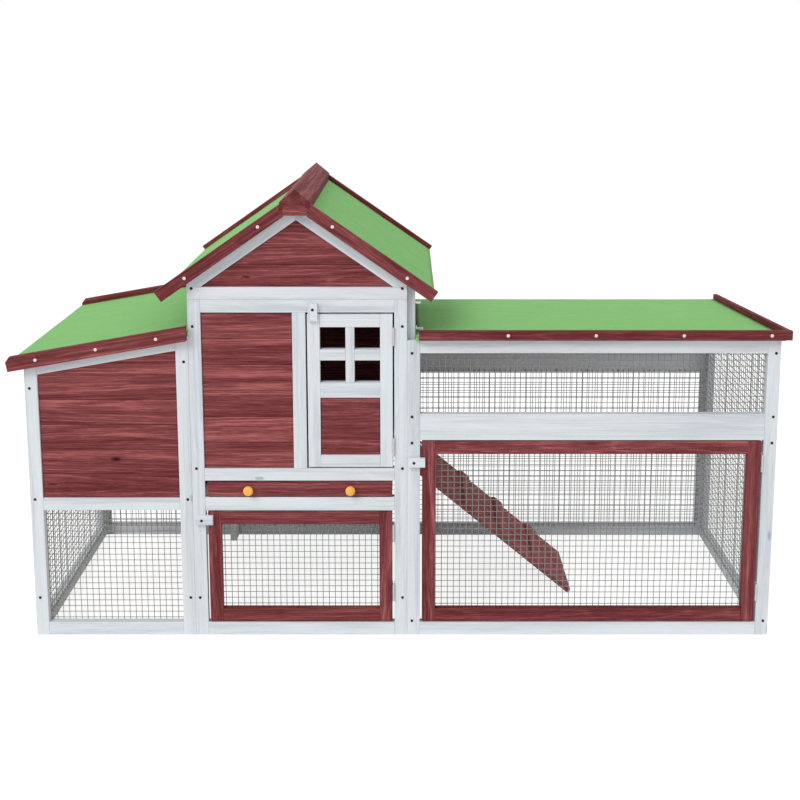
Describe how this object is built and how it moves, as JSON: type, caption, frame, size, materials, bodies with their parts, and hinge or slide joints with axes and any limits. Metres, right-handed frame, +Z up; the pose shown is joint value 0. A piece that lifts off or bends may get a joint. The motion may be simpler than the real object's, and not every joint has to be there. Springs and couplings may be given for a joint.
{
  "type": "rabbit hutch",
  "caption": "Wooden rabbit hutch with a lean-to nest box, a gabled tower with a windowed door and a pull-out tray, and a wire run with a ramp and a lift-up felt roof.",
  "frame": {"origin": "on the ground, below the middle of the whole hutch", "axes": "+X from the nest box to the wire run, -Y out of the front with the doors, +Z up"},
  "size_m": [1.93, 0.6528, 1.156],
  "materials": {
    "white_paint": "thin white water-based paint over softwood",
    "red_stain": "dark red stain with the grain showing",
    "roof_board": "plain sheet board under the felt",
    "green_felt": "mineral-faced green roofing felt",
    "galvanised_mesh": "galvanised welded wire",
    "black_screw": "black oxide screw heads",
    "bright_screw": "bright zinc screw heads",
    "hinge_steel": "zinc-plated pressed steel",
    "knob_wood": "clear-varnished turned wood",
    "tray_sheet": "galvanised sheet",
    "bare_wood": "bare planed softwood"
  },
  "bodies": {
    "root": {"nest_front_frame": "white_paint", "nest_front_boards": "red_stain", "nest_side_frame": "white_paint", "nest_side_boards": "red_stain", "nest_back_frame": "white_paint", "nest_back_boards": "red_stain", "nest_mesh": "galvanised_mesh", "nest_floor": "bare_wood", "nest_roof_panel": "roof_board", "nest_roof_felt": "green_felt", "nest_roof_fascias": "red_stain", "tower_front_frame": "white_paint", "tower_front_boards": "red_stain", "tower_back_frame": "white_paint", "tower_back_boards": "red_stain", "tower_back_mesh": "galvanised_mesh", "tower_wall_frames": "white_paint", "tower_wall_boards": "red_stain", "gable_frames": "white_paint", "gable_boards": "red_stain", "gable_roof_panels": "roof_board", "gable_roof_felt": "green_felt", "barge_boards": "red_stain", "apex_blocks": "red_stain", "ridge_cap": "red_stain", "tray_runners": "bare_wood", "run_front_frame": "white_paint", "run_back_frame": "white_paint", "run_side_frame": "white_paint", "run_mesh": "galvanised_mesh", "ramp_board": "red_stain", "ramp_cleats": "red_stain", "ramp_hooks": "hinge_steel", "frame_screws": "black_screw", "fascia_screws": "bright_screw", "frame_hinge_leaves": "hinge_steel", "hinge_pins": "hinge_steel"},
    "coop_door": {"coop_door_frame": "white_paint", "coop_door_boards": "red_stain", "coop_door_hinge_leaves": "hinge_steel"},
    "lower_door": {"lower_door_frame": "red_stain", "lower_door_mesh": "galvanised_mesh", "lower_door_hinge_leaves": "hinge_steel"},
    "run_door": {"run_door_frame": "red_stain", "run_door_mesh": "galvanised_mesh", "run_door_hinge_leaves": "hinge_steel"},
    "coop_button": {"coop_turn_button": "white_paint"},
    "lower_button": {"lower_turn_button": "white_paint"},
    "run_button": {"run_turn_button": "white_paint"},
    "tray": {"tray_front": "red_stain", "tray_base": "tray_sheet", "tray_rim": "bare_wood", "tray_knobs": "knob_wood"},
    "run_roof": {"run_roof_panel": "roof_board", "run_roof_felt": "green_felt", "run_roof_fascias": "red_stain", "run_roof_screws": "bright_screw", "run_roof_hinge_leaves": "hinge_steel"}
  },
  "joints": [
    {"name": "coop_door_hinge", "type": "hinge", "parent": "root", "child": "coop_door", "pos_m": [-0.012, -0.3058, 0.648], "axis": [0, 0, 1], "range_deg": [0, 110]},
    {"name": "lower_door_hinge", "type": "hinge", "parent": "root", "child": "lower_door", "pos_m": [-0.01275, -0.3058, 0.1855], "axis": [0, 0, 1], "range_deg": [0, 110]},
    {"name": "run_door_hinge", "type": "hinge", "parent": "root", "child": "run_door", "pos_m": [0.91125, -0.3058, 0.278], "axis": [0, 0, 1], "range_deg": [0, 110]},
    {"name": "coop_button_pivot", "type": "hinge", "parent": "root", "child": "coop_button", "pos_m": [-0.21, -0.3083, 0.857], "axis": [0, -1, 0], "continuous": true},
    {"name": "lower_button_pivot", "type": "hinge", "parent": "root", "child": "lower_button", "pos_m": [-0.496, -0.3083, 0.313], "axis": [0, -1, 0], "continuous": true},
    {"name": "run_button_pivot", "type": "hinge", "parent": "root", "child": "run_button", "pos_m": [0.039, -0.3083, 0.465], "axis": [0, -1, 0], "continuous": true},
    {"name": "tray_slide", "type": "slide", "parent": "root", "child": "tray", "axis": [0, -1, 0], "range_m": [0, 0.45]},
    {"name": "run_roof_hinge", "type": "hinge", "parent": "root", "child": "run_roof", "pos_m": [0.0448, -0.20377, 0.78393], "axis": [0, -0.9967, 0.0812], "range_deg": [0, 45]}
  ]
}
